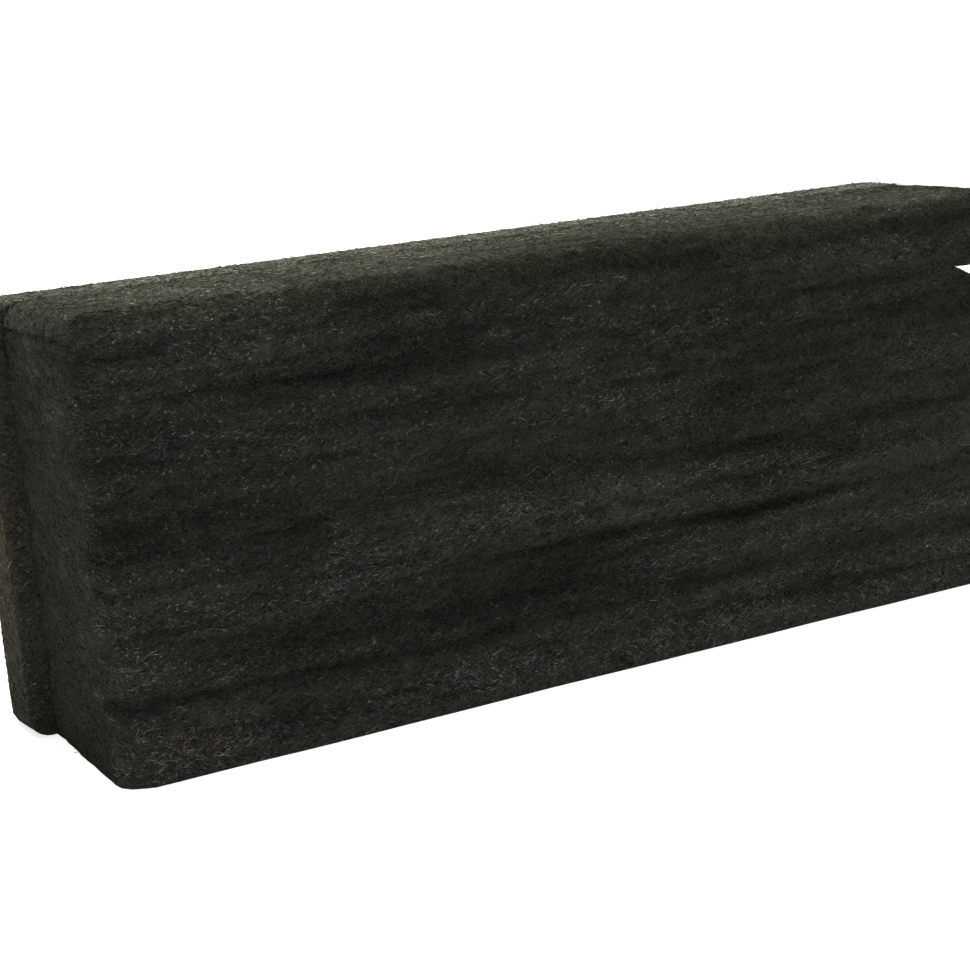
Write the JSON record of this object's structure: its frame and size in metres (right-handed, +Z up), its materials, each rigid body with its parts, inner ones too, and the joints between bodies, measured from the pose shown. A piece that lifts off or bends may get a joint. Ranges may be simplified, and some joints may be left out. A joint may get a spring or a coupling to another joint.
{
  "type": "chalkboard eraser",
  "caption": "All-felt chalkboard eraser: a block of folded felt strips sewn with rows of lockstitch to a thick felt back sheet with rounded corners.",
  "frame": {"origin": "centre of the bounding box's bottom, where the eraser stands on its long side", "axes": "+X along the length, -Y out of the wiping face, +Y out of the back, +Z up"},
  "size_m": [0.13, 0.034, 0.05],
  "materials": {
    "back_felt": "thick pressed wool felt, brown-olive, fuzzy",
    "strip_felt": "near-black olive wool felt with loose pale fibres",
    "thread": "dark twisted cotton sewing thread"
  },
  "bodies": {
    "root": {"back_sheet": "back_felt", "felt_fold_1": "strip_felt", "felt_fold_2": "strip_felt", "felt_fold_3": "strip_felt", "felt_fold_4": "strip_felt", "felt_fold_5": "strip_felt", "felt_fold_6": "strip_felt", "needle_thread_1": "thread", "needle_thread_2": "thread", "needle_thread_3": "thread", "needle_thread_4": "thread", "needle_thread_5": "thread", "needle_thread_6": "thread", "bobbin_thread_1": "thread", "bobbin_thread_2": "thread", "bobbin_thread_3": "thread", "bobbin_thread_4": "thread", "bobbin_thread_5": "thread", "bobbin_thread_6": "thread"}
  },
  "joints": []
}
